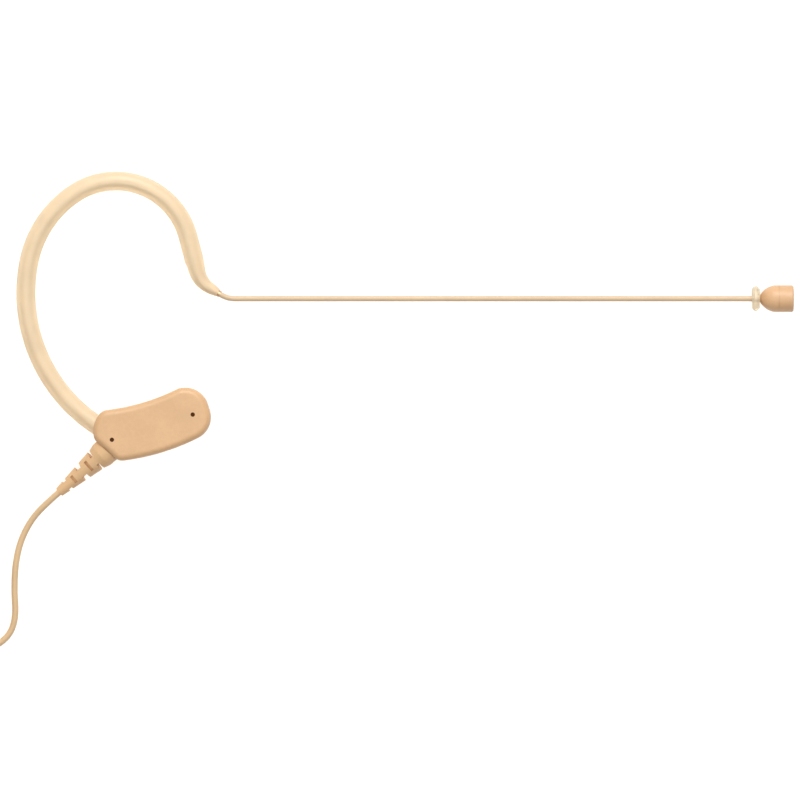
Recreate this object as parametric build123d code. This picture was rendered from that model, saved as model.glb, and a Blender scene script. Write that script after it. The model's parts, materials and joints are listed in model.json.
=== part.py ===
from build123d import *
import math
import os

# A single-ear headset microphone, lying on a table: +Z up, millimetres.
# X runs along the straight boom towards the microphone capsule, and the ear hook lies at -X.
# The origin is on the table, under the middle of the headset without its cable.

# Boom and ear hook. The hook's plane tips a little, so that the headset rests on
# the pod, on the top of the hook and on the capsule.
boom_y = 8.1
capsule_diameter = 6.0
boom_z = capsule_diameter / 2
hook_tilt = 1.84
boom_diameter = 1.2
boom_bore = 0.8
boom_bend_x = -38.2
boom_bend_radius = 6.4
boom_bend_turn = 32.0

tube_diameter = 4.3
tube_bore = 2.0
nose_tip_diameter = 1.8
nose_taper = 10.0
nose_swell = 0.7
nose_straight = 3.0
nose_bend = (5.85, -43.0)
neck_length = 8.3
hook_arcs = [(16.8, 109.0), (24.0, 44.0), (35.7, 72.5)]

ferrule_diameter = 1.5
ferrule_length = 2.4
ferrule_proud = 0.6
swivel_clearance = 0.03
collar_diameter = 1.8
collar_length = 0.3
collar_gap = 0.05

former_diameter = 1.0
former_side = 0.45
lead_diameter = 0.7
lead_side = -0.5
wire_gap = 0.2
boom_lead_diameter = 0.5

# Capsule at the end of the boom, from its cone to its grille.
capsule_start = 79.9
capsule_end = 87.4
cap_split = 84.1
cap_gap = 0.05
cone_length = 3.4
cone_tip_radius = 0.75
cone_curve = 4.4
spigot_radius = 2.6
spigot_length = 1.8
cap_bore_radius = 2.64
boom_insertion = 2.0
can_radius = 2.25
can_wall = 0.2
can_start = 82.5
can_end = 85.4
sound_hole_radius = 0.5
diaphragm_inset = 0.3
diaphragm_thickness = 0.08
back_plate_inset = 0.6
back_plate_thickness = 0.35
air_hole_circle = 1.1
air_hole_radius = 0.2
capsule_board_thickness = 0.5
gasket_thickness = 0.4
window_radius = 2.0
screen_radius = 2.3
screen_depth = 0.5
screen_thickness = 0.2
cap_edge = 0.25
close_fit = 0.01

ring_centre = 78.95
ring_diameter = 5.6
ring_width = 1.7
ring_bevel = 0.55
ring_crest = 0.25
ring_bore_gap = 0.02

# Pod behind the ear.
pod_x = -56.7
pod_y = -20.8
pod_turn = 17.3
pod_half_length = 13.35
pod_half_width = 6.05
pod_thickness = 7.8
pod_wall = 1.1
pod_corner = 2.4
pod_front_round = 1.4
pod_back_round = 1.2
pin_spread = 9.5
pin_hole_diameter = 1.0
pin_diameter = 0.98
pin_top = 5.6
pin_bottom = 1.6
boss_radius = 0.9
seam_depth = 0.18
seam_height = 0.2
rib_spread = 4.5
rib_half_width = 0.4
rib_half_length = 2.0
board_bottom = 2.7
board_thickness = 0.8
board_length = 12.6
board_width = 6.0
board_u = 0.4
fit_gap = 0.05

# Strain relief. Distances along it start just outside the pod.
relief_x = -67.82
relief_y = -26.71
relief_z = 3.7
relief_heading = 221.2
relief_slope = 6.4
relief_length = 13.3
relief_base_radius = 3.0
relief_shoulder = 1.9
relief_shoulder_radius = 2.6
relief_tip_radius = 1.1
relief_neck_radius = 1.9
relief_flange_radius = 2.3
relief_flange_start = -1.9
relief_flange_end = -1.3
relief_web = 1.0
side_slots = [(1.9, 2.6), (5.65, 7.05), (10.3, 11.3)]
face_slots = [(3.75, 4.45, 1.35), (8.35, 9.05, 0.95)]
gland_inset = 2.2
gland_half = 3.1

# Cable.
cable_diameter = 1.4
cable_bore_radius = 0.72
core_diameter = 0.3
core_spacing = 0.32
core_turn = 50.0

# Put-away coil: layers of flat spirals, held by a tie that lies under them.
coil_x = -106.0
coil_y = -60.0
coil_pitch = 1.5
coil_layers = 6
coil_turns_per_layer = 4
coil_mid_radius = 8.0
tie_thickness = 0.35
tie_width = 4.0
tie_gap = 0.55
coil_bottom = 0.4
coil_half_width = coil_turns_per_layer * coil_pitch / 2
coil_outer_radius = coil_mid_radius + coil_half_width + cable_diameter / 2
coil_inner_radius = coil_mid_radius - coil_half_width - cable_diameter / 2
coil_height = (coil_layers - 1) * coil_pitch + cable_diameter
coil_total_turns = coil_layers * coil_turns_per_layer + 0.25
coil_floor_z = coil_bottom + cable_diameter / 2
coil_top_z = coil_floor_z + (coil_layers - 1) * coil_pitch
winding_radius = coil_mid_radius + coil_half_width

# Plug. Distances along it start at the cable end of its boot.
plug_radius = 5.55
plug_x = -116.7
plug_y = -36.6
boot_end = 10.0
boot_tail = 1.9
boot_shoulder = 3.3
boot_collar = 3.6
boot_collar_start = 8.5
boot_collar_end = 12.0
boot_grooves = (2.0, 4.2, 6.4)
boot_groove_width = 0.7
boot_groove_taper = 0.12
boot_groove_depth = 0.35
boot_bore_gap = 0.02
nut_start = 9.0
nut_end = 17.5
nut_thread = 2.0
nut_radius = 5.2
nut_mouth = 3.65
nut_bore = 3.62
nut_rear_radius = 4.5
nut_rear_taper = 1.2
nut_thread_radius = 4.3
nut_ribs = 18
nut_groove_half = 0.3
nut_groove_floor = 5.0
clamp_radius = 1.5
clamp_length = 4.0
clamp_slit = 0.2
plug_cable_end = 16.6
shell_wall = 0.85
shell_edge = 0.3
shell_thread_depth = 0.35
nose_start = 29.5
nose_end = 38.0
nose_radius = 4.5
nose_wall = 0.5
insert_start = 22.0
insert_end = 37.2
insert_step = 1.2
insert_gap = 0.02
contact_offset = 1.7
contact_radius = 0.7
contact_bore_radius = 0.45
contact_start = 18.5
contact_end = 36.6
socket_depth = 7.0
solder_cup = 1.6
button_centre = 24.5
button_length = 6.6
button_width = 3.2
button_top = 6.15
latch_start = 20.0
latch_step = 28.4
latch_end = 34.2
latch_bottom = 3.1
flange_top = 4.3
arm_top = 3.7
arm_width = 2.4
tooth_length = 1.0
tooth_top = 4.95
pocket_floor = 2.5
slot_clearance = 0.15
spring_radius = 0.6
spring_wire = 0.22
spring_bottom = 0.9
spring_turns = 5

# Frames: every piece is made about its own origin and then set in place.
boom_frame = Pos(0, boom_y, boom_z)
hook_frame = boom_frame * Rot(-hook_tilt, 0, 0)
pod_frame = Pos(pod_x, pod_y, 0) * Rot(0, 0, pod_turn)
relief_frame = Pos(relief_x, relief_y, relief_z) * Rot(0, 0, relief_heading) * Rot(0, relief_slope, 0)
plug_frame = Pos(plug_x, plug_y, plug_radius) * Rot(0, 0, 90)


def walk(start, heading, moves, side=0.0):
    """Straights (length, 0) and tangent arcs (radius, turn) in the XY plane, shifted left by side."""
    direction = Vector(1, 0, 0).rotate(Axis.Z, heading)
    point = Vector(*start) + direction.rotate(Axis.Z, 90) * side
    edges = []
    for size, turn in moves:
        if turn == 0:
            edge = Line(point, point + direction * size)
        else:
            radius = size - side if turn > 0 else size + side
            edge = JernArc(point, direction, radius, turn)
        edges.append(edge)
        point = edge @ 1
        direction = edge % 1
    return Wire([edge.edge() for edge in edges])


def rod(path, radius):
    """A round bar along a wire."""
    section = Plane(origin=path @ 0, z_dir=path % 0) * Circle(radius)
    return sweep(section, path=path)


def turned(*profile):
    """A closed profile of (distance along X, radius), turned about the X axis."""
    outline = Polyline(*profile, close=True)
    return revolve(make_face(outline), axis=Axis.X)


def disc(start, end, radius):
    """A round slug on the X axis."""
    return turned((start, 0), (start, radius), (end, radius), (end, 0))


def washer(start, end, outer, inner):
    """A flat ring on the X axis."""
    return turned((start, inner), (start, outer), (end, outer), (end, inner))


def block(x_range, y_range, z_range):
    """A box between three pairs of limits."""
    sizes = [high - low for low, high in (x_range, y_range, z_range)]
    middle = [(high + low) / 2 for low, high in (x_range, y_range, z_range)]
    return Pos(*middle) * Box(*sizes)


# Boom and hook ------------------------------------------------------------

boom_inner_end = capsule_start + boom_insertion
boom_moves = [(boom_inner_end - boom_bend_x, 0), (boom_bend_radius, -boom_bend_turn)]
nose_heading = 180 - boom_bend_turn
nose_tip = walk((boom_inner_end, 0), 180, boom_moves) @ 1
nose_frame = hook_frame * Pos(nose_tip.X, nose_tip.Y, 0) * Rot(0, 0, nose_heading)
collar_start = ferrule_length + collar_gap
spigot_reach = collar_start + collar_length
wire_inset = spigot_reach + wire_gap


def hook_path(inset, side=0.0, tail=()):
    """The hook's centre line, from a distance inside its nose to its end in the pod."""
    direction = Vector(1, 0, 0).rotate(Axis.Z, nose_heading)
    start = nose_tip + direction * inset
    moves = [(nose_straight - inset, 0), nose_bend, (neck_length, 0), *hook_arcs, *tail]
    return walk((start.X, start.Y), nose_heading, moves, side)


def nose_sections(path):
    """Round sections of the nose, which widens from its tip to the full tube, fastest at the tip."""
    steps = 9
    sections = []
    for step in range(steps):
        share = step / (steps - 1)
        radius = (nose_tip_diameter + (tube_diameter - nose_tip_diameter) * share ** nose_swell) / 2
        place = (ferrule_proud + nose_taper * share) / path.length
        plane = Plane(origin=path @ place, x_dir=(0, 0, 1), z_dir=path % place)
        sections.append(plane * Circle(radius))
    return sections


def make_ear_tube():
    """Soft tube that hooks over the ear, hollow, with a tapered nose."""
    nose_path = hook_path(0.0)
    sections = nose_sections(nose_path)
    nose = loft(sections)
    bend_length = math.radians(abs(nose_bend[1])) * nose_bend[0]
    taper_in_neck = ferrule_proud + nose_taper - nose_straight - bend_length
    neck_start = nose_path @ ((ferrule_proud + nose_taper) / nose_path.length)
    heading = nose_heading + nose_bend[1]
    body_moves = [(neck_length - taper_in_neck, 0), *hook_arcs]
    body = rod(walk((neck_start.X, neck_start.Y), heading, body_moves), tube_diameter / 2)
    bore = rod(hook_path(ferrule_length), tube_bore / 2)
    tube = hook_frame * (nose + body - bore)
    ferrule_seat = disc(0, ferrule_length + collar_gap, ferrule_diameter / 2 + close_fit)
    return tube - nose_frame * ferrule_seat


def make_former_wire():
    """Springy wire that gives the hook its shape, on the inner side of the tube."""
    return hook_frame * rod(hook_path(wire_inset, former_side), former_diameter / 2)


def make_hook_lead():
    """Microphone lead in the tube, ending on the board in the pod."""
    tail = [(1.2, 50.0), (3.0, 0)]
    return hook_frame * rod(hook_path(wire_inset, lead_side, tail), lead_diameter / 2)


def make_nose_ferrule():
    """Metal bearing tube in the nose, in which the boom swivels."""
    bore_radius = boom_diameter / 2 + swivel_clearance
    return nose_frame * washer(0, ferrule_length, ferrule_diameter / 2, bore_radius)


def boom_path(spigot, start=boom_inner_end):
    """The boom's centre line, from the capsule to a distance inside the nose."""
    moves = [(start - boom_bend_x, 0), boom_moves[1], (spigot, 0)]
    return walk((start, 0), 180, moves)


def make_boom_tube():
    """Thin metal tube of the boom, bent once where it enters the nose."""
    outer = rod(boom_path(spigot_reach), boom_diameter / 2)
    inner = rod(boom_path(spigot_reach), boom_bore / 2)
    return hook_frame * (outer - inner)


def make_boom_stop_collar():
    """Ring on the boom's end that keeps it in the nose."""
    collar = washer(collar_start, spigot_reach, collar_diameter / 2, boom_diameter / 2)
    return nose_frame * collar


def make_boom_lead():
    """Lead inside the boom, from the capsule's board to the nose."""
    lead_start = can_start - fit_gap
    return hook_frame * rod(boom_path(spigot_reach - 0.1, lead_start), boom_lead_diameter / 2)


# Capsule ------------------------------------------------------------------

def make_capsule_holder():
    """Bullet-shaped rear of the capsule, with the spigot that the cap pushes on to."""
    radius = capsule_diameter / 2
    cone_end = capsule_start + cone_length
    cone = RadiusArc((capsule_start, cone_tip_radius), (cone_end, radius), cone_curve)
    spigot_end = cap_split + spigot_length
    sides = Polyline(
        (cone_end, radius),
        (cap_split, radius),
        (cap_split, spigot_radius),
        (spigot_end, spigot_radius),
        (spigot_end, 0),
        (capsule_start, 0),
        (capsule_start, cone_tip_radius),
    )
    outline = make_face(Wire([cone.edge(), *sides.edges()]))
    body = revolve(outline, axis=Axis.X)
    boom_hole = disc(capsule_start, can_start, boom_diameter / 2 + close_fit)
    pocket = disc(can_start - fit_gap, spigot_end, can_radius + close_fit)
    return boom_frame * (body - boom_hole - pocket)


def make_electret_can():
    """Metal can of the microphone, open at the rear, with a sound hole."""
    can = disc(can_start, can_end, can_radius)
    inside = disc(can_start, can_end - can_wall, can_radius - can_wall)
    sound_hole = disc(can_start, can_end, sound_hole_radius)
    return boom_frame * (can - inside - sound_hole)


def make_diaphragm_ring():
    """Ring that the diaphragm is stretched on."""
    front = can_end - can_wall
    return boom_frame * washer(front - diaphragm_inset, front, can_radius - can_wall - close_fit, 1.6)


def make_diaphragm():
    """Thin disc that moves with the sound."""
    front = can_end - can_wall - diaphragm_inset
    return boom_frame * disc(front - diaphragm_thickness, front, can_radius - can_wall - close_fit)


def make_back_plate():
    """Charged plate behind the diaphragm, with six air holes."""
    front = can_end - can_wall - back_plate_inset
    plate = disc(front - back_plate_thickness, front, can_radius - can_wall - 0.15)
    for angle in range(0, 360, 60):
        hole = Rot(angle, 0, 0) * Pos(0, air_hole_circle, 0) * disc(front - 1, front + 1, air_hole_radius)
        plate -= hole
    return boom_frame * plate


def make_capsule_board():
    """Round board that closes the can, with the amplifier on its inner face."""
    front = can_start + capsule_board_thickness
    board = disc(can_start, front, can_radius - can_wall - close_fit)
    amplifier = block((front, front + 0.6), (-0.8, 0.8), (-0.6, 0.6))
    return boom_frame * (board + amplifier)


def make_capsule_gasket():
    """Soft ring between the can and the cap's chamber."""
    return boom_frame * washer(can_end, can_end + gasket_thickness, can_radius, 1.3)


def make_capsule_cap():
    """Removable cap with a round window for the screen."""
    radius = capsule_diameter / 2
    start = cap_split + cap_gap
    step = cap_split + spigot_length + 0.15
    shell = turned(
        (start, cap_bore_radius),
        (start, radius),
        (capsule_end - cap_edge, radius),
        (capsule_end, radius - cap_edge),
        (capsule_end, window_radius),
        (capsule_end - screen_depth, window_radius),
        (capsule_end - screen_depth, screen_radius),
        (step, screen_radius),
        (step, cap_bore_radius),
    )
    return boom_frame * shell


def make_cap_screen():
    """Disc of fine screen behind the cap's window."""
    front = capsule_end - screen_depth
    return boom_frame * disc(front - screen_thickness, front, screen_radius - close_fit)


def make_moisture_ring():
    """Soft ring that keeps sweat from running along the boom."""
    start = ring_centre - ring_width / 2
    end = ring_centre + ring_width / 2
    bore = boom_diameter / 2 + ring_bore_gap
    rim = ring_diameter / 2
    ring = turned(
        (start, bore),
        (start, rim - ring_bevel),
        (ring_centre - ring_crest, rim),
        (ring_centre + ring_crest, rim),
        (end, rim - ring_bevel),
        (end, bore),
    )
    return boom_frame * ring


# Pod ----------------------------------------------------------------------

def pod_outline(wall=0.0):
    """Bean-shaped outline of the pod, or the smaller one that leaves a wall round it."""
    shrink_u = 1 - wall / pod_half_length
    shrink_v = 1 - wall / pod_half_width

    def at(u, v):
        return (u * shrink_u, v * shrink_v)

    sides = (
        ThreePointArc(at(-9.5, 6.9), at(0.7, 5.9), at(8.0, 6.55)),
        ThreePointArc(at(8.0, 6.55), at(11.795, 4.995), at(pod_half_length, 1.24)),
        Line(at(pod_half_length, 1.24), at(pod_half_length, -0.19)),
        ThreePointArc(at(pod_half_length, -0.19), at(12.214, -3.451), at(9.3, -5.3)),
        ThreePointArc(at(9.3, -5.3), at(0.0, -pod_half_width), at(-9.5, -5.05)),
        Line(at(-9.5, -5.05), at(-pod_half_length, 1.2)),
        ThreePointArc(at(-pod_half_length, 1.2), at(-12.2, 4.6), at(-9.5, 6.9)),
    )
    outline = make_face([side.edge() for side in sides])
    corners = outline.vertices().filter_by_position(Axis.X, -pod_half_length - 1, 10)
    return fillet(corners, pod_corner - wall)


def pod_block():
    """The closed pod before it is split and hollowed."""
    body = extrude(pod_outline(), pod_thickness)
    body = fillet(body.edges().group_by(Axis.Z)[-1], pod_front_round)
    return fillet(body.edges().group_by(Axis.Z)[0], pod_back_round)


def pod_seam():
    """Shallow groove round the pod where its halves meet."""
    groove = extrude(pod_outline(-seam_depth), seam_height) - extrude(pod_outline(seam_depth), seam_height)
    return Pos(0, 0, (pod_thickness - seam_height) / 2) * groove


def pod_half(z_range):
    """The part of the hollow pod between two heights, with room for the tube and the relief."""
    room = block((-20, 20), (-12, 12), z_range)
    inside = extrude(pod_outline(pod_wall), pod_thickness - 2 * pod_wall)
    shell = pod_block() - Pos(0, 0, pod_wall) * inside
    gland = relief_frame * block((-gland_inset, 0), (-gland_half, gland_half), (-gland_half, gland_half))
    gland = pod_frame.inverse() * gland
    shell += gland & pod_block()
    cut_tube = pod_frame.inverse() * hook_frame * rod(hook_path(nose_straight / 2), tube_diameter / 2 + fit_gap)
    cut_relief = pod_frame.inverse() * relief_frame * relief_anchor(fit_gap)
    cut_cable = pod_frame.inverse() * relief_frame * disc(-gland_inset - 1, 0, cable_bore_radius)
    return (shell - cut_tube - cut_relief - cut_cable - pod_seam()) & room


def pin_positions():
    """The pod's two pins, one near each end."""
    return [Pos(side * pin_spread, 0, 0) for side in (-1, 1)]


def upright(radius, bottom, top):
    """A round post between two heights."""
    return Pos(0, 0, (bottom + top) / 2) * Cylinder(radius, top - bottom)


def make_pod_front_shell():
    """Outer half of the pod, with two bosses that are open to the front."""
    middle = pod_thickness / 2
    shell = pod_half((middle, pod_thickness + 1))
    for place in pin_positions():
        shell += place * upright(boss_radius, middle, pod_thickness - pod_wall)
        shell -= place * upright(pin_hole_diameter / 2, middle - 1, pod_thickness + 1)
    return pod_frame * shell


def make_pod_back_shell():
    """Half of the pod that lies against the head, with bosses and ribs for the board."""
    middle = pod_thickness / 2
    shell = pod_half((-1, middle))
    for place in pin_positions():
        shell += place * upright(boss_radius, pod_wall, middle)
        shell -= place * upright(pin_hole_diameter / 2, pin_bottom, middle + 1)
    for rib_u in (board_u - rib_spread, board_u + rib_spread):
        along = (rib_u - rib_half_width, rib_u + rib_half_width)
        shell += block(along, (-rib_half_length, rib_half_length), (pod_wall - 0.1, board_bottom))
    return pod_frame * shell


def make_pod_pins():
    """Two pins pressed into the bosses, sunk below the front."""
    pins = [place * upright(pin_diameter / 2, pin_bottom, pin_top) for place in pin_positions()]
    return pod_frame * Compound(children=[pin.solid() for pin in pins])


def make_junction_board():
    """Board that joins the thin lead to the cable."""
    u_range = (board_u - board_length / 2, board_u + board_length / 2)
    v_range = (-board_width / 2, board_width / 2)
    return pod_frame * block(u_range, v_range, (board_bottom, board_bottom + board_thickness))


def make_board_parts():
    """Chip and capacitors on the board."""
    top = board_bottom + board_thickness
    chip = block((1.0, 3.9), (-1.2, 1.2), (top, top + 1.0))
    places = ((-2.2, 1.2), (-2.2, -0.4), (4.6, -0.4))
    small = [block((u, u + 1.6), (v, v + 0.8), (top, top + 0.7)) for u, v in places]
    return pod_frame * Compound(children=[part.solid() for part in (chip, *small)])


def make_cable_cores():
    """Three insulated cores, from the end of the cable, round the boss and on to the board."""
    cores = []
    height = board_bottom + board_thickness + core_diameter / 2 + 0.01
    start = pod_frame.inverse() * relief_frame * Pos(-gland_inset - 0.1, 0, 0)
    heading = relief_heading - 180 - pod_turn
    moves = [(0.6, -core_turn), (1.0, 0), (2.0, core_turn - heading), (2.6, 0)]
    for number in (-1, 0, 1):
        place = (start.position.X, start.position.Y)
        core = rod(walk(place, heading, moves, number * core_spacing), core_diameter / 2)
        cores.append(Pos(0, 0, height) * core)
    return pod_frame * Compound(children=[core.solid() for core in cores])


# Strain relief and cable ---------------------------------------------------

def relief_anchor(gap=0.0):
    """Neck and flange of the relief, held in the pod's wall."""
    neck = disc(relief_flange_end - fit_gap - gap, 0.5, relief_neck_radius + gap)
    flange = disc(relief_flange_start - gap, relief_flange_end + gap, relief_flange_radius + gap)
    return neck + flange


def make_strain_relief():
    """Soft segmented relief: a flared base, then blocks cut from the sides and the faces by turns."""
    body = turned(
        (-2.5, 0),
        (-2.5, relief_base_radius),
        (0.5, relief_base_radius),
        (relief_shoulder, relief_shoulder_radius),
        (relief_length, relief_tip_radius),
        (relief_length, 0),
    )
    far = 5
    for start, end in side_slots:
        for side in (-1, 1):
            limits = sorted((side * relief_web, side * far))
            body -= block((start, end), limits, (-far, far))
    for start, end, half_width in face_slots:
        for side in (-1, 1):
            limits = sorted((side * relief_web, side * far))
            body -= block((start, end), (-half_width, half_width), limits)
    pod_room = extrude(pod_outline(-fit_gap), pod_thickness + 2)
    outside = relief_frame * body - pod_frame * Pos(0, 0, -1) * pod_room
    relief = outside + relief_frame * relief_anchor()
    return relief - relief_frame * disc(-3, relief_length + 1, cable_bore_radius)


def make_cable_inner():
    """The end of the cable, inside the relief."""
    return relief_frame * disc(-gland_inset, relief_length, cable_diameter / 2)


def bend_radii(route):
    """Radius of each corner of a cable's route: as large as its two runs allow."""
    radii = []
    for before, here, after in zip(route, route[1:], route[2:]):
        run_in = here - before
        run_out = after - here
        half_turn = math.radians(run_in.get_angle(run_out)) / 2
        radii.append(0.45 * min(run_in.length, run_out.length) / math.tan(half_turn))
    return radii


def cable_tube(name, points):
    """A free stretch of cable: straight runs joined by tangent arcs."""
    route = [Vector(*point) for point in points]
    radii = bend_radii(route)
    path = FilletPolyline(*route, radius=radii)
    tube = rod(Wire(path.edges()), cable_diameter / 2)
    section = math.pi * cable_diameter ** 2 / 4
    print(name, "radii", [round(radius, 1) for radius in radii])
    print(name, "length", round(path.length, 1), "volume / (section x length)",
          round(tube.volume / (section * path.length), 4))
    return tube


def coil_ring():
    """Outer shape of the coil's turns."""
    ring = upright(coil_outer_radius, coil_bottom, coil_bottom + coil_height)
    ring -= upright(coil_inner_radius, 0, coil_bottom + coil_height + 1)
    return Pos(coil_x, coil_y, 0) * ring


relief_exit = relief_frame * Pos(relief_length, 0, 0)

cable_route = [
    relief_exit.position,
    (relief_frame * Pos(relief_length + 3.4, 0, 0)).position,
    (-83.7, -41.0, 1.1),
    (-86.4, -45.8, 0.72),
    (-87.75, -51.4, 0.72),
    (-88.0, -57.6, 0.72),
    (-87.6, -63.4, 0.72),
    (-88.9, -67.6, 0.72),
    (-92.4, -70.4, 0.72),
    (-97.2, -70.9, 0.9),
    (-102.0, coil_y - winding_radius, coil_floor_z),
]
tail_route = [
    (coil_x - winding_radius, -60.0, coil_top_z),
    (coil_x - winding_radius, -55.0, coil_top_z),
    (-116.9, -50.0, 7.6),
    (-116.7, -45.2, 6.0),
    (plug_x, -40.8, plug_radius),
    (plug_x, plug_y, plug_radius),
]


def make_cable():
    """Cable from the relief to the coil."""
    return cable_tube("cable", cable_route) - coil_ring()


def make_cable_tail():
    """Cable from the top of the coil to the plug."""
    return cable_tube("cable_tail", tail_route) - coil_ring()


def make_cable_coil():
    """The put-away length, as one ring."""
    mean_turn = 2 * math.pi * coil_mid_radius
    print("coil length", round(coil_total_turns * mean_turn, 1))
    return coil_ring()


def make_cable_tie():
    """Strap round the coil, with room for the ring's curve inside."""
    inner = coil_inner_radius - tie_gap
    outer = coil_outer_radius + 0.05
    top = coil_bottom + coil_height + 0.05
    half = tie_width / 2
    wall = tie_thickness
    strap = block((inner - wall, outer + wall), (-half, half), (0, top + wall))
    strap = fillet(strap.edges().filter_by(Axis.Y), 0.3)
    strap -= block((inner, outer), (-half - 1, half + 1), (wall, top))
    return Pos(coil_x, coil_y, 0) * Rot(0, 0, 20) * strap


# Plug ---------------------------------------------------------------------

def make_plug_boot():
    """Soft boot where the cable enters the plug."""
    bore = cable_diameter / 2 + boot_bore_gap
    boot = turned(
        (0, bore),
        (0, boot_tail),
        (boot_collar_start, boot_shoulder),
        (boot_collar_start, boot_collar),
        (boot_collar_end, boot_collar),
        (boot_collar_end, bore),
    )
    for start in boot_grooves:
        floor = boot_tail + boot_groove_taper * start - boot_groove_depth
        boot -= washer(start, start + boot_groove_width, plug_radius, floor)
    return plug_frame * boot


def make_plug_back_nut():
    """Ribbed nut that closes the rear of the plug over the boot."""
    nut = turned(
        (nut_start, nut_mouth),
        (nut_start, nut_rear_radius),
        (nut_start + nut_rear_taper, nut_radius),
        (nut_end, nut_radius),
        (nut_end, nut_thread_radius),
        (nut_end + nut_thread, nut_thread_radius),
        (nut_end + nut_thread, nut_bore),
        (boot_end, nut_bore),
        (boot_end, nut_mouth),
    )
    groove = block((nut_start + 2, nut_end - 0.8), (-nut_groove_half, nut_groove_half), (nut_groove_floor, 6))
    for number in range(nut_ribs):
        nut -= Rot(number * 360 / nut_ribs, 0, 0) * groove
    return plug_frame * nut


def make_plug_shell():
    """Metal sleeve of the plug with a narrower nose, and slots for the latch's button and tooth."""
    inner = plug_radius - shell_wall
    thread = inner - shell_thread_depth
    nose_inner = nose_radius - nose_wall
    shell = turned(
        (nut_end + 0.1, thread),
        (nut_end + 0.1, plug_radius - shell_edge),
        (nut_end + 0.1 + shell_edge, plug_radius),
        (nose_start - shell_edge, plug_radius),
        (nose_start, plug_radius - shell_edge),
        (nose_start, nose_radius),
        (nose_end - shell_edge, nose_radius),
        (nose_end, nose_radius - shell_edge),
        (nose_end, nose_inner),
        (nose_start - shell_wall, nose_inner),
        (nose_start - shell_wall, inner),
        (nut_end + nut_thread + 0.2, inner),
        (nut_end + nut_thread + 0.2, thread),
    )
    half_slot = button_length / 2 + slot_clearance
    half_width = button_width / 2 + slot_clearance
    button_slot = block((button_centre - half_slot, button_centre + half_slot), (-half_width, half_width), (2, 8))
    tooth_limits = (latch_end - tooth_length - slot_clearance, latch_end + slot_clearance)
    half_tooth = arm_width / 2 + slot_clearance
    tooth_slot = block(tooth_limits, (-half_tooth, half_tooth), (2, 8))
    return plug_frame * (shell - button_slot - tooth_slot)


def contact_places():
    """The four contacts, in a square."""
    return [Pos(0, y * contact_offset, z * contact_offset) for y in (-1, 1) for z in (-1, 1)]


def make_plug_insert():
    """Plastic insert that holds the contacts and guides the latch."""
    insert = disc(insert_start, insert_end, nose_radius - nose_wall - insert_gap)
    insert += disc(insert_start, insert_start + insert_step, plug_radius - shell_wall - insert_gap)
    for place in contact_places():
        insert -= place * disc(insert_start - 1, insert_end + 1, contact_radius + close_fit)
    half_width = button_width / 2 + slot_clearance
    pocket = block((latch_start - 1, latch_end + slot_clearance), (-half_width, half_width), (pocket_floor, 8))
    well_radius = spring_radius + spring_wire / 2 + 0.1
    well = Pos(button_centre, 0, 0) * upright(well_radius, spring_bottom, latch_bottom)
    return plug_frame * (insert - pocket - well)


def make_plug_contacts():
    """Four sockets, hollow at the front, with a solder cup at the rear."""
    contact = disc(contact_start, contact_end, contact_radius)
    contact -= disc(contact_end - socket_depth, contact_end + 1, contact_bore_radius)
    contact -= block((contact_start - 1, contact_start + solder_cup), (-1, 1), (0, 1))
    return plug_frame * Compound(children=[(place * contact).solid() for place in contact_places()])


def make_plug_clamp():
    """Split metal sleeve that grips the cable behind the contacts."""
    start = boot_collar_end + 0.1
    end = start + clamp_length
    sleeve = washer(start, end, clamp_radius, cable_bore_radius)
    sleeve -= block((start - 1, end + 1), (-clamp_slit, clamp_slit), (0, clamp_radius + 1))
    return plug_frame * sleeve


def make_plug_cable_end():
    """The end of the cable inside the plug."""
    return plug_frame * disc(0, plug_cable_end, cable_diameter / 2)


def make_plug_cores():
    """Four cores, spreading from the cable to the contacts."""
    cores = []
    gap = 0.2
    for y, z in ((-1, -1), (-1, 1), (1, -1), (1, 1)):
        near = Vector(plug_cable_end + gap, 0.3 * y, 0.3 * z)
        far = Vector(contact_start - gap, contact_offset * y, contact_offset * z)
        cores.append(rod(Wire([Line(near, far).edge()]), core_diameter / 2))
    return plug_frame * Compound(children=[core.solid() for core in cores])


def make_latch_button():
    """Button, the flange that stays under the shell, and the arm with the tooth."""
    half = button_length / 2
    width = button_width / 2
    head = block((button_centre - half, button_centre + half), (-width, width), (latch_bottom, button_top))
    head = fillet(head.edges().filter_by(Axis.Z), 1.2)
    head = fillet(head.edges().group_by(Axis.Z)[-1], 0.4)
    flange = block((latch_start, latch_step), (-width, width), (latch_bottom, flange_top))
    arm = block((latch_step - 1, latch_end), (-arm_width / 2, arm_width / 2), (latch_bottom, arm_top))
    tooth = block((latch_end - tooth_length, latch_end), (-arm_width / 2, arm_width / 2), (latch_bottom, tooth_top))
    return plug_frame * (head + flange + arm + tooth)


def make_latch_spring():
    """Small coil spring under the button."""
    height = latch_bottom - spring_bottom - spring_wire - 0.02
    helix = Helix(pitch=height / spring_turns, height=height, radius=spring_radius)
    section = Plane(origin=helix @ 0, z_dir=helix % 0) * Circle(spring_wire / 2)
    spring = sweep(section, path=helix, is_frenet=True)
    return plug_frame * Pos(button_centre, 0, spring_bottom + spring_wire / 2 + 0.01) * spring


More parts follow.
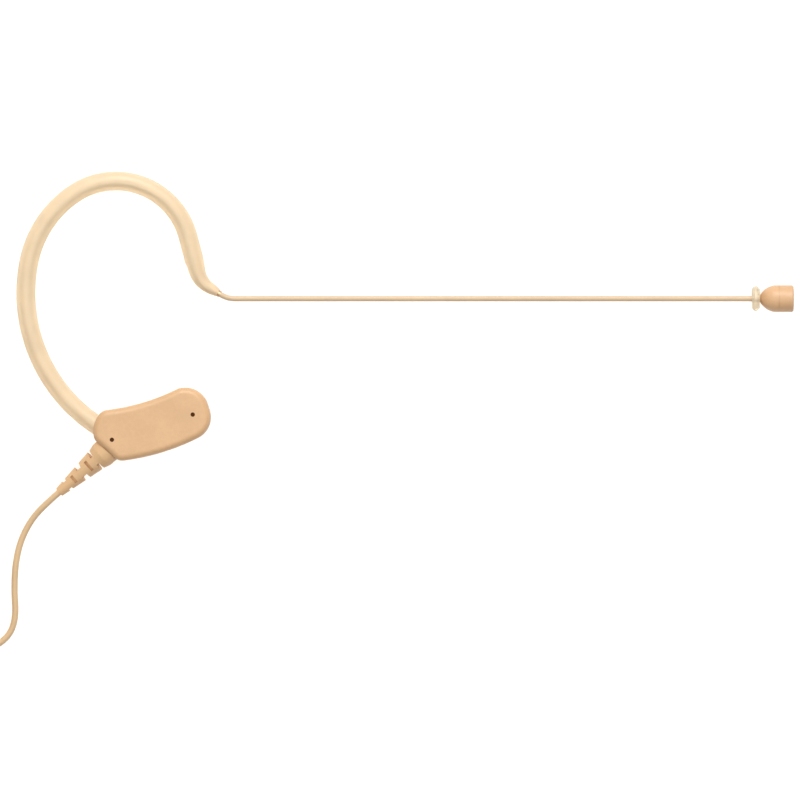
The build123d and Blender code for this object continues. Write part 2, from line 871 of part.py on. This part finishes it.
nodes = {
    "ear_tube": make_ear_tube,
    "former_wire": make_former_wire,
    "hook_lead": make_hook_lead,
    "nose_ferrule": make_nose_ferrule,
    "boom_tube": make_boom_tube,
    "boom_stop_collar": make_boom_stop_collar,
    "boom_lead": make_boom_lead,
    "capsule_holder": make_capsule_holder,
    "electret_can": make_electret_can,
    "diaphragm_ring": make_diaphragm_ring,
    "diaphragm": make_diaphragm,
    "back_plate": make_back_plate,
    "capsule_board": make_capsule_board,
    "capsule_gasket": make_capsule_gasket,
    "capsule_cap": make_capsule_cap,
    "cap_screen": make_cap_screen,
    "moisture_ring": make_moisture_ring,
    "pod_front_shell": make_pod_front_shell,
    "pod_back_shell": make_pod_back_shell,
    "pod_pins": make_pod_pins,
    "junction_board": make_junction_board,
    "board_parts": make_board_parts,
    "cable_cores": make_cable_cores,
    "strain_relief": make_strain_relief,
    "cable_inner": make_cable_inner,
    "cable": make_cable,
    "cable_coil": make_cable_coil,
    "cable_tail": make_cable_tail,
    "cable_tie": make_cable_tie,
    "plug_boot": make_plug_boot,
    "plug_back_nut": make_plug_back_nut,
    "plug_shell": make_plug_shell,
    "plug_insert": make_plug_insert,
    "plug_contacts": make_plug_contacts,
    "plug_clamp": make_plug_clamp,
    "plug_cable_end": make_plug_cable_end,
    "plug_cores": make_plug_cores,
    "latch_button": make_latch_button,
    "latch_spring": make_latch_spring,
}

os.makedirs("parts", exist_ok=True)
for name, make in nodes.items():
    export_step(make(), os.path.join("parts", name + ".step"))
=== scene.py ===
import json
import math

import bmesh
import bpy
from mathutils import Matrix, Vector


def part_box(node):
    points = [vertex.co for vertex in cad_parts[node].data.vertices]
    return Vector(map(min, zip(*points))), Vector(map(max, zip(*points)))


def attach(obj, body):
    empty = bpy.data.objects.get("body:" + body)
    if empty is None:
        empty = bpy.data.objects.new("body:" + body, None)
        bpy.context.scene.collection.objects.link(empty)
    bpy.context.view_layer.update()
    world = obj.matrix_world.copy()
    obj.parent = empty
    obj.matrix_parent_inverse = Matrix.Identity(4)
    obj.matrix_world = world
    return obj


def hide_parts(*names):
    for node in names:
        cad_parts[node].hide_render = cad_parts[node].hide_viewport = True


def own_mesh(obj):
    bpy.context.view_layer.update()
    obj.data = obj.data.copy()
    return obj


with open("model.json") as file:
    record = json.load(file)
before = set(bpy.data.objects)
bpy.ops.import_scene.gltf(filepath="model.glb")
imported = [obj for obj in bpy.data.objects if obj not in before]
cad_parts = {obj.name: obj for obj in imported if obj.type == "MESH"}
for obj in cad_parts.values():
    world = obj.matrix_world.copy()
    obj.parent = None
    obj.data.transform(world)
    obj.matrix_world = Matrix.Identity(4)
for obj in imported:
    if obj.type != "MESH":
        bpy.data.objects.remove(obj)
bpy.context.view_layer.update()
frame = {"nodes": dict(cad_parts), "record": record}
NODES = frame["nodes"]
MM = 0.001

# Lengths are in metres. The cable's routes, the coil and the tie are where the CAD has them.

# Camera ---------------------------------------------------------------------

VIEW_CENTRE = (-0.0011, -0.0147)
VIEW_HEIGHT = 2.003
LENS = 400.0
SENSOR = 36.0


def make_camera():
    """Looks straight down at the headset, with +X to the right and +Y up."""
    data = bpy.data.cameras.new("camera")
    data.lens = LENS
    data.sensor_width = SENSOR
    camera = bpy.data.objects.new("camera", data)
    camera.location = (*VIEW_CENTRE, VIEW_HEIGHT)
    bpy.context.scene.collection.objects.link(camera)
    bpy.context.scene.camera = camera


# Cable ----------------------------------------------------------------------

CABLE_DIAMETER = 0.0014
CURVE_STEPS = 6
BEVEL_STEPS = 5
# From the strain relief to the coil.
CABLE_ROUTE = [
    (-0.077765, -0.035416, 0.002217),
    (-0.080307, -0.037642, 0.001838),
    (-0.0837, -0.0410, 0.0011),
    (-0.0864, -0.0458, 0.00072),
    (-0.08775, -0.0514, 0.00072),
    (-0.0880, -0.0576, 0.00072),
    (-0.0876, -0.0634, 0.00072),
    (-0.0889, -0.0676, 0.00072),
    (-0.0924, -0.0704, 0.00072),
    (-0.0972, -0.0709, 0.0009),
    (-0.1020, -0.0710, 0.0011),
]
# From the coil to the plug.
TAIL_ROUTE = [
    (-0.1170, -0.0550, 0.0086),
    (-0.1169, -0.0500, 0.0076),
    (-0.1167, -0.0452, 0.0060),
    (-0.1167, -0.0408, 0.00555),
    (-0.1167, -0.0366, 0.00555),
]
COIL_CENTRE = (-0.1060, -0.0600)
COIL_BOTTOM_Z = 0.0011
COIL_PITCH = 0.0015
COIL_OUTER = 0.0110
COIL_INNER = 0.0050
COIL_LAYERS = 6
COIL_TURNS = 24.25
POINTS_PER_TURN = 16
COIL_START_ANGLE = -90.0
# The part of each layer, from 0 to 1, over which it climbs to the next one.
CLIMB_START = 0.93
CLIMB_SHARE = 0.07


def coil_points():
    """Flat spirals stacked in layers, wound clockwise from the outside in and out again."""
    count = int(COIL_TURNS * POINTS_PER_TURN)
    points = []
    for step in range(count + 1):
        done = step / count * COIL_LAYERS
        layer = min(int(done), COIL_LAYERS - 1)
        share = done - layer
        inward = layer % 2 == 0
        radius = COIL_OUTER + (COIL_INNER - COIL_OUTER) * (share if inward else 1 - share)
        climb = max(0.0, (share - CLIMB_START) / CLIMB_SHARE) if layer < COIL_LAYERS - 1 else 0.0
        height = COIL_BOTTOM_Z + COIL_PITCH * (layer + climb * climb * (3 - 2 * climb))
        angle = math.radians(COIL_START_ANGLE - 360 * COIL_TURNS * step / count)
        x = COIL_CENTRE[0] + radius * math.cos(angle)
        y = COIL_CENTRE[1] + radius * math.sin(angle)
        points.append((x, y, height))
    return points


def make_cable():
    """The free cable as one smooth line: from the relief, round the coil and to the plug."""
    points = [*CABLE_ROUTE, *coil_points(), *TAIL_ROUTE]
    curve = bpy.data.curves.new("free_cable", "CURVE")
    curve.dimensions = "3D"
    spline = curve.splines.new("NURBS")
    spline.points.add(len(points) - 1)
    for place, point in zip(points, spline.points):
        point.co = (*place, 1.0)
    spline.order_u = 3
    spline.use_endpoint_u = True
    spline.resolution_u = CURVE_STEPS
    curve.bevel_depth = CABLE_DIAMETER / 2
    curve.bevel_resolution = BEVEL_STEPS
    curve.use_fill_caps = True
    cable = bpy.data.objects.new("free_cable", curve)
    bpy.context.scene.collection.objects.link(cable)
    return cable


# Meshes built in code -------------------------------------------------------

def new_piece(name, build):
    """A smooth-shaded object from a bmesh, with its faces turned outwards."""
    bmesh.ops.recalc_face_normals(build, faces=build.faces)
    mesh = bpy.data.meshes.new(name)
    build.to_mesh(mesh)
    build.free()
    for polygon in mesh.polygons:
        polygon.use_smooth = True
    piece = bpy.data.objects.new(name, mesh)
    bpy.context.scene.collection.objects.link(piece)
    return piece


def skin(build, rings, closed=False):
    """Faces between rings of points, one after the other: a loop, or a bar with two flat ends."""
    loops = [[build.verts.new(point) for point in ring] for ring in rings]
    pairs = list(zip(loops, loops[1:]))
    if closed:
        pairs.append((loops[-1], loops[0]))
    else:
        build.faces.new(loops[0])
        build.faces.new(list(reversed(loops[-1])))
    for first, second in pairs:
        for here in range(len(first)):
            after = (here + 1) % len(first)
            build.faces.new((first[here], first[after], second[after], second[here]))


def arc(centre, radius, start, end, steps):
    """Points (across, up) on an arc, with angles in degrees."""
    angles = [math.radians(start + (end - start) * step / steps) for step in range(steps + 1)]
    across, up = centre
    return [(across + radius * math.cos(angle), up + radius * math.sin(angle)) for angle in angles]


def rounded_outline(half_width, half_height, radius, steps):
    """Closed outline (across, up) of a rectangle with round corners, about its centre."""
    x = half_width - radius
    y = half_height - radius
    corners = ((x, y, 0), (-x, y, 90), (-x, -y, 180), (x, -y, 270))
    outline = []
    for centre_x, centre_y, start in corners:
        outline += arc((centre_x, centre_y), radius, start, start + 90, steps)
    return outline


# Tie round the coil ---------------------------------------------------------

TIE_ANGLE = math.radians(20)
TIE_INNER = 0.0034
TIE_OUTER = 0.0121
TIE_TOP = 0.0097
TIE_WIDTH = 0.0040
TIE_THICKNESS = 0.00035
TIE_CORNER = 0.0010
TIE_CORNER_STEPS = 8
TIE_EDGE_STEPS = 3
TONGUE_START = 0.0048
TONGUE_END = 0.0113
TONGUE_HALF_WIDTH = 0.0017
TONGUE_TIP_LENGTH = 0.0022
TONGUE_TIP_FLAT = 0.02
TONGUE_STEPS = 64
RIBS_END = 0.0068
RIB_HEIGHT = 0.00006
RIB_PITCH = 0.0006
STUD_PLACE = 0.0079
HOLE_PLACE = 0.0101
STUD_SIDES = 24
# Radius and height above the strap, from the bottom up.
STUD_PROFILE = ((0.00055, 0.0003), (0.00055, 0.0005), (0.0010, 0.0006), (0.00095, 0.00075), (0.0005, 0.0009))
RIM_PROFILE = ((0.0009, 0.0003), (0.0009, 0.00045), (0.0007, 0.00052), (0.0005, 0.00045), (0.0005, 0.00038))


def tie_point(along, across, up):
    """A point of the tie: along the coil's radius, across the strap, and up."""
    x = COIL_CENTRE[0] + along * math.cos(TIE_ANGLE) - across * math.sin(TIE_ANGLE)
    y = COIL_CENTRE[1] + along * math.sin(TIE_ANGLE) + across * math.cos(TIE_ANGLE)
    return (x, y, up)


def strap_loop(build):
    """The strap's closed loop round the coil, with softly rounded edges."""
    half = TIE_THICKNESS / 2
    middle = ((TIE_INNER + TIE_OUTER) / 2, TIE_TOP / 2)
    half_reach = (TIE_OUTER - TIE_INNER) / 2
    path = rounded_outline(half_reach - half, TIE_TOP / 2 - half, TIE_CORNER, TIE_CORNER_STEPS)
    section = rounded_outline(TIE_WIDTH / 2, half, half * 0.95, TIE_EDGE_STEPS)
    rings = []
    for place, (along, up) in enumerate(path):
        before = Vector(path[place - 1])
        after = Vector(path[(place + 1) % len(path)])
        run = (after - before).normalized()
        outward = Vector((run.y, -run.x))
        ring = []
        for across, rise in section:
            point = Vector((along, up)) + outward * rise
            ring.append(tie_point(middle[0] + point.x, across, middle[1] + point.y))
        rings.append(ring)
    skin(build, rings, closed=True)


def strap_tongue(build):
    """The free end, which lies back over the strap and ends round, with fine grip ribs."""
    half = TIE_THICKNESS / 2
    rings = []
    for step in range(TONGUE_STEPS + 1):
        share = step / TONGUE_STEPS
        along = TONGUE_START + (TONGUE_END - TONGUE_START) * share
        end_reach = max(0.0, (TONGUE_START + TONGUE_TIP_LENGTH - along) / TONGUE_TIP_LENGTH)
        half_width = TONGUE_HALF_WIDTH * math.sqrt(max(TONGUE_TIP_FLAT, 1 - end_reach ** 2))
        wave = math.cos(2 * math.pi * (along - TONGUE_START) / RIB_PITCH)
        rib = RIB_HEIGHT * max(0.0, wave) if along < RIBS_END else 0.0
        section = rounded_outline(half_width, half + rib, min(half_width, half) * 0.9, TIE_EDGE_STEPS)
        rings.append([tie_point(along, across, TIE_TOP + half + rise) for across, rise in section])
    skin(build, rings)


def tie_stud(build, along, profile):
    """A round stud or ring on the tongue, from its profile of (radius, height above the strap)."""
    rings = []
    for radius, rise in profile:
        ring = []
        for side in range(STUD_SIDES):
            angle = 2 * math.pi * side / STUD_SIDES
            ring.append(tie_point(along + radius * math.cos(angle), radius * math.sin(angle), TIE_TOP + rise))
        rings.append(ring)
    skin(build, rings)


def make_tie():
    """Moulded rubber strap: loop, overlapping tongue, the stud that holds it and a spare hole's rim."""
    build = bmesh.new()
    strap_loop(build)
    strap_tongue(build)
    tie_stud(build, STUD_PLACE, STUD_PROFILE)
    tie_stud(build, HOLE_PLACE, RIM_PROFILE)
    tie = new_piece("tie_strap", build)
    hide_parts("cable_tie")
    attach(tie, "headset")
    return tie


# Woven screen in the cap ----------------------------------------------------

SCREEN_PITCH = 0.00020
SCREEN_WIRE = 0.00009
SCREEN_RIM = 0.00030
WIRE_SIDES = 6
WEAVE_RISE = 0.52
RIM_SIDES = 64


def woven_wire(build, offset, reach, turned, first_side, centre):
    """One wire of the screen, over and under those that cross it."""
    steps = max(2, 2 * int(reach / SCREEN_PITCH)) * 2
    rings = []
    for step in range(steps + 1):
        along = -reach + 2 * reach * step / steps
        wave = SCREEN_WIRE * WEAVE_RISE * first_side * math.cos(math.pi * along / SCREEN_PITCH)
        ring = []
        for corner in range(WIRE_SIDES):
            angle = 2 * math.pi * corner / WIRE_SIDES
            side = offset + SCREEN_WIRE / 2 * math.cos(angle)
            depth = wave + SCREEN_WIRE / 2 * math.sin(angle)
            y, z = (side, along) if turned else (along, side)
            ring.append((centre.x + depth, centre.y + y, centre.z + z))
        rings.append(ring)
    skin(build, rings)


def make_screen():
    """Wire cloth in a thin rim, behind the round window of the cap."""
    low, high = (Vector(corner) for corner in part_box("cap_screen"))
    centre = (low + high) / 2
    radius = (high.y - low.y) / 2
    half_depth = (high.x - low.x) / 2
    build = bmesh.new()
    count = int((radius - SCREEN_RIM) / SCREEN_PITCH)
    for number in range(-count, count + 1):
        offset = number * SCREEN_PITCH
        reach = math.sqrt((radius - SCREEN_RIM / 2) ** 2 - offset ** 2)
        side = 1 if number % 2 == 0 else -1
        woven_wire(build, offset, reach, False, side, centre)
        woven_wire(build, offset, reach, True, -side, centre)
    inner = radius - SCREEN_RIM
    section = ((-half_depth, inner), (half_depth, inner), (half_depth, radius), (-half_depth, radius))
    rings = []
    for step in range(RIM_SIDES):
        angle = 2 * math.pi * step / RIM_SIDES
        ring = []
        for depth, out in section:
            y = centre.y + out * math.cos(angle)
            z = centre.z + out * math.sin(angle)
            ring.append((centre.x + depth, y, z))
        rings.append(ring)
    skin(build, rings, closed=True)
    screen = new_piece("woven_screen", build)
    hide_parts("cap_screen")
    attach(screen, "cap")
    return screen


# Spring under the latch button ----------------------------------------------

SPRING_TURNS = 5
SPRING_WIRE = 0.00022
SPRING_STEPS = 24
SPRING_SIDES = 8


def make_spring():
    """Coil spring that the button presses on to."""
    low, high = (Vector(corner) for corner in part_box("latch_spring"))
    foot = Vector(((low.x + high.x) / 2, (low.y + high.y) / 2, low.z))
    wire = SPRING_WIRE / 2
    radius = (high.x - low.x) / 2 - wire
    rise = high.z - low.z - SPRING_WIRE
    steps = SPRING_TURNS * SPRING_STEPS
    section = arc((0, 0), wire, 0, 360 - 360 / SPRING_SIDES, SPRING_SIDES - 1)
    build = bmesh.new()
    rings = []
    for step in range(steps + 1):
        angle = 2 * math.pi * SPRING_TURNS * step / steps
        outward = Vector((math.cos(angle), math.sin(angle), 0))
        middle = foot + outward * radius + Vector((0, 0, wire + rise * step / steps))
        rings.append([middle + outward * across + Vector((0, 0, up)) for across, up in section])
    skin(build, rings)
    spring = new_piece("coil_spring", build)
    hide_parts("latch_spring")
    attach(spring, "headset")
    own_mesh(spring)
    return spring


# Materials ------------------------------------------------------------------

# Scales of noise, in features per metre.
COLOUR_PATCHES = 140
COLOUR_FLECKS = 1500
GLOSS_PATCHES = 900
SILICONE_PATCHES = 260
SILICONE_CLOUD = 420
SILICONE_GLOSS = 1300
SILICONE_SKIN = 2600

# Painted shade in grooves and pockets: factor on their colour, and how open a spot is where the shade is at
# its full and where it ends.
GROOVE_SHADE_TINT = (0.62, 0.50, 0.38)
GROOVE_FULL = 0.45
GROOVE_END = 0.9
GROOVE_SAMPLES = 8

BRUSH_DEPTH = 0.000004


class Finish:
    """One material: a principled shader, and the nodes that vary it over the surface."""

    def __init__(self, name, roughness, **settings):
        self.material = bpy.data.materials.new(name)
        self.material.use_nodes = True
        self.tree = self.material.node_tree
        self.shader = self.tree.nodes["Principled BSDF"]
        self.shader.inputs["Roughness"].default_value = roughness
        for socket, value in settings.items():
            self.shader.inputs[socket.replace("_", " ")].default_value = value
        self.where = self.tree.nodes.new("ShaderNodeTexCoord").outputs["Object"]

    def link(self, output, target):
        self.tree.links.new(output, target)

    def noise(self, scale, detail, stretch=(1, 1, 1)):
        """Noise with features of about 1/scale metres, longer along an axis with a small stretch."""
        mapping = self.tree.nodes.new("ShaderNodeMapping")
        mapping.inputs["Scale"].default_value = stretch
        self.link(self.where, mapping.inputs["Vector"])
        texture = self.tree.nodes.new("ShaderNodeTexNoise")
        texture.inputs["Scale"].default_value = scale
        texture.inputs["Detail"].default_value = detail
        self.link(mapping.outputs["Vector"], texture.inputs["Vector"])
        return texture.outputs["Fac"]

    def cells(self, scale):
        """Distance to the middle of random cells of about 1/scale metres, as in a spark-eroded mould."""
        texture = self.tree.nodes.new("ShaderNodeTexVoronoi")
        texture.inputs["Scale"].default_value = scale
        self.link(self.where, texture.inputs["Vector"])
        return texture.outputs["Distance"]

    def total(self, first, second, share=0.5):
        """A mix of two values."""
        node = self.tree.nodes.new("ShaderNodeMix")
        node.inputs["Factor"].default_value = share
        self.link(first, node.inputs["A"])
        self.link(second, node.inputs["B"])
        return node.outputs["Result"]

    def spread(self, fac, low, high, start=0.3, end=0.7):
        """The stretch start..end of a value, spread over low..high."""
        node = self.tree.nodes.new("ShaderNodeMapRange")
        for socket, value in zip(("From Min", "From Max", "To Min", "To Max"), (start, end, low, high)):
            node.inputs[socket].default_value = value
        self.link(fac, node.inputs["Value"])
        return node.outputs["Result"]

    def tint(self, fac, dark, light, start=0.3, end=0.7):
        """Base colour from dark to light as a value rises."""
        ramp = self.tree.nodes.new("ShaderNodeValToRGB")
        ramp.color_ramp.elements[0].position = start
        ramp.color_ramp.elements[1].position = end
        ramp.color_ramp.elements[0].color = (*dark, 1)
        ramp.color_ramp.elements[1].color = (*light, 1)
        self.link(fac, ramp.inputs["Fac"])
        self.link(ramp.outputs["Color"], self.shader.inputs["Base Color"])

    def paint_groove_shade(self, reach):
        """Painted shade: darker base colour in grooves and pockets, where surfaces closer than reach keep the
        light out.
        """
        opening = self.tree.nodes.new("ShaderNodeAmbientOcclusion")
        opening.samples = GROOVE_SAMPLES
        opening.inputs["Distance"].default_value = reach
        mix = self.tree.nodes.new("ShaderNodeMixRGB")
        mix.blend_type = "MULTIPLY"
        mix.inputs["Color2"].default_value = (*GROOVE_SHADE_TINT, 1)
        self.link(self.shader.inputs["Base Color"].links[0].from_socket, mix.inputs["Color1"])
        painted_shade = self.spread(opening.outputs["AO"], 1.0, 0.0, GROOVE_FULL, GROOVE_END)
        self.link(painted_shade, mix.inputs["Fac"])
        self.link(mix.outputs["Color"], self.shader.inputs["Base Color"])

    def gloss(self, fac, low, high):
        """Roughness that varies between two values."""
        self.link(self.spread(fac, low, high), self.shader.inputs["Roughness"])

    def bump(self, fac, height):
        """Relief of that height in metres."""
        node = self.tree.nodes.new("ShaderNodeBump")
        node.inputs["Distance"].default_value = height
        self.link(fac, node.inputs["Height"])
        self.link(node.outputs["Normal"], self.shader.inputs["Normal"])


def shade(colour, factor):
    """A colour made darker or lighter."""
    return tuple(min(1.0, channel * factor) for channel in colour)


def moulded(name, colour, roughness=0.5, grain=6000, height=0.00001, vary=0.05, groove_shade=0.0):
    """Moulded plastic or rubber: faint patches of colour, uneven gloss and a fine spark-eroded grain.

    Painted shade: grooves narrower than the given reach in metres get a darker base colour, if one is set.
    """
    finish = Finish(name, roughness)
    patches = finish.total(finish.noise(COLOUR_PATCHES, 3), finish.noise(COLOUR_FLECKS, 4), 0.35)
    finish.tint(patches, shade(colour, 1 - vary), shade(colour, 1 + vary), 0.35, 0.65)
    # Painted shade in the grooves, if a reach is set.
    if groove_shade:
        finish.paint_groove_shade(groove_shade)
    finish.gloss(finish.noise(GLOSS_PATCHES, 5), roughness - 0.06, roughness + 0.08)
    finish.bump(finish.total(finish.cells(grain), finish.noise(grain * 1.7, 2)), height)
    return finish.material


def silicone(name, colour, roughness, clear, height=0.000008):
    """Milky rubber that lets about the share clear of the light through, with a soft dull skin."""
    finish = Finish(name, roughness, IOR=1.41, Coat_Weight=0.06, Coat_Roughness=0.5)
    finish.tint(finish.noise(SILICONE_PATCHES, 3), shade(colour, 0.97), shade(colour, 1.02), 0.35, 0.65)
    clearness = finish.spread(finish.noise(SILICONE_CLOUD, 4), clear - 0.05, clear + 0.05)
    finish.link(clearness, finish.shader.inputs["Transmission Weight"])
    finish.gloss(finish.noise(SILICONE_GLOSS, 4), roughness - 0.04, roughness + 0.06)
    finish.bump(finish.noise(SILICONE_SKIN, 3), height)
    return finish.material


def brushed(name, colour, stretch, roughness=0.3, scale=9000):
    """Bare metal with fine marks, longer along an axis with a small stretch."""
    finish = Finish(name, roughness, Metallic=1.0)
    marks = finish.noise(scale, 3, stretch)
    finish.tint(marks, shade(colour, 0.86), colour)
    finish.gloss(marks, roughness - 0.08, roughness + 0.12)
    finish.bump(marks, BRUSH_DEPTH)
    return finish.material


def make_materials():
    """One material for each slot of the record."""
    return {
        "tube_silicone": silicone("tube_silicone", (0.785, 0.645, 0.448), 0.42, 0.46),
        "pod_plastic": moulded("pod_plastic", (0.58, 0.355, 0.182), 0.44, 4200, 0.00002),
        "boom_coat": moulded("boom_coat", (0.56, 0.405, 0.25), 0.42, 5000, 0.000006),
        "capsule_plastic": moulded("capsule_plastic", (0.57, 0.345, 0.18), 0.45, 6500, 0.00001),
        "ring_silicone": silicone("ring_silicone", (0.74, 0.64, 0.47), 0.38, 0.50, 0.000002),
        # The relief's notches and pockets get painted shade.
        "relief_rubber": moulded("relief_rubber", (0.60, 0.38, 0.195), 0.55, 4200, 0.00002, groove_shade=0.0007),
        "cable_jacket": moulded("cable_jacket", (0.58, 0.40, 0.22), 0.55, 4000, 0.000014),
        "steel": brushed("steel", (0.60, 0.58, 0.55), (1, 1, 0.1)),
        # Dark brown pins: painted shade of the deep holes they sit in.
        "pin_steel": brushed("pin_steel", (0.11, 0.045, 0.015), (1, 1, 0.3), 0.5),
        "ferrule_metal": brushed("ferrule_metal", (0.62, 0.41, 0.25), (0.3, 1, 1), 0.4),
        "lead_jacket": moulded("lead_jacket", (0.50, 0.32, 0.19), 0.45),
        "board": moulded("board", (0.02, 0.12, 0.04), 0.35, 2500, 0.00002, 0.3),
        "black_part": moulded("black_part", (0.02, 0.02, 0.02), 0.45, 5000, 0.00001, 0.2),
        "core_insulation": moulded("core_insulation", (0.55, 0.05, 0.03), 0.35, 4000, 0.000005, 0.1),
        "brass": brushed("brass", (0.83, 0.60, 0.25), (1, 0.1, 1), 0.25),
        "diaphragm_film": brushed("diaphragm_film", (0.80, 0.66, 0.34), (1, 1, 1), 0.2),
        "plug_metal": brushed("plug_metal", (0.52, 0.51, 0.49), (1, 12, 1), 0.32, 1800),
        "plug_black": moulded("plug_black", (0.018, 0.018, 0.02), 0.48, 4500, 0.000012, 0.2),
        "boot_rubber": moulded("boot_rubber", (0.022, 0.022, 0.024), 0.6, 3800, 0.000016, 0.2),
        "tie_rubber": moulded("tie_rubber", (0.025, 0.025, 0.028), 0.7, 3000, 0.00002, 0.3),
    }


# Widths of the rounds, in millimetres.
SOFT_EDGES = {
    "pod_front_shell": 0.10, "pod_back_shell": 0.10, "strain_relief": 0.12, "plug_boot": 0.12,
    "plug_back_nut": 0.08, "plug_shell": 0.06, "plug_insert": 0.05, "latch_button": 0.05,
    "capsule_cap": 0.05, "capsule_holder": 0.05, "moisture_ring": 0.12, "nose_ferrule": 0.03,
}
SHARP_ANGLE = math.radians(40)


def soften_edges():
    """Small rounds on the hard edges of moulded and turned pieces."""
    for name, width in SOFT_EDGES.items():
        bevel = NODES[name].modifiers.new("soft_edges", "BEVEL")
        bevel.width = width * MM
        bevel.segments = 2
        bevel.limit_method = "ANGLE"
        bevel.angle_limit = SHARP_ANGLE
        bevel.harden_normals = True


def paint(materials):
    """Gives every CAD node the material of its slot."""
    for row in frame["record"]["subparts"]:
        mesh = NODES[row["node"]].data
        mesh.materials.clear()
        mesh.materials.append(materials[row["material_slot"]])


# Stage ----------------------------------------------------------------------

FLOOR_SIZE = 4.0
WORLD_STRENGTH = 0.40


def make_floor():
    """Plain pale floor that the headset, the coil and the plug lie on."""
    bpy.ops.mesh.primitive_plane_add(size=FLOOR_SIZE, location=(0, 0, 0))
    floor = bpy.context.object
    floor.name = "floor"
    finish = Finish("floor_white", 0.7)
    finish.tint(finish.noise(3, 2), (0.93, 0.93, 0.93), (0.95, 0.95, 0.95))
    floor.data.materials.append(finish.material)


def make_light(name, place, size, watts, shadow=True):
    """Soft square light that points at the middle of the headset."""
    data = bpy.data.lights.new(name, "AREA")
    data.size = size
    data.energy = watts
    data.use_shadow = shadow
    light = bpy.data.objects.new(name, data)
    light.location = place
    aim = Vector((0, 0, 0)) - Vector(place)
    light.rotation_euler = aim.to_track_quat("-Z", "Y").to_euler()
    bpy.context.scene.collection.objects.link(light)


def make_world():
    """Even pale surroundings."""
    world = bpy.data.worlds.new("surroundings")
    world.use_nodes = True
    background = world.node_tree.nodes["Background"]
    background.inputs["Color"].default_value = (1, 1, 1, 1)
    background.inputs["Strength"].default_value = WORLD_STRENGTH
    bpy.context.scene.world = world
    bpy.context.scene.view_settings.view_transform = "Standard"


# Whole scene ----------------------------------------------------------------

make_camera()
cable = make_cable()
materials = make_materials()
paint(materials)
soften_edges()
tie = make_tie()
screen = make_screen()
spring = make_spring()
made_here = ((cable, "cable_jacket"), (tie, "tie_rubber"), (screen, "steel"), (spring, "steel"))
for piece, slot in made_here:
    piece.data.materials.append(materials[slot])
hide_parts("cable", "cable_coil", "cable_tail")
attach(cable, "headset")
make_floor()
make_light("key", (0.0, 0.8, 0.85), 0.6, 12, shadow=False)
make_light("top", (0.0, 0.0, 2.4), 2.4, 26)
make_world()
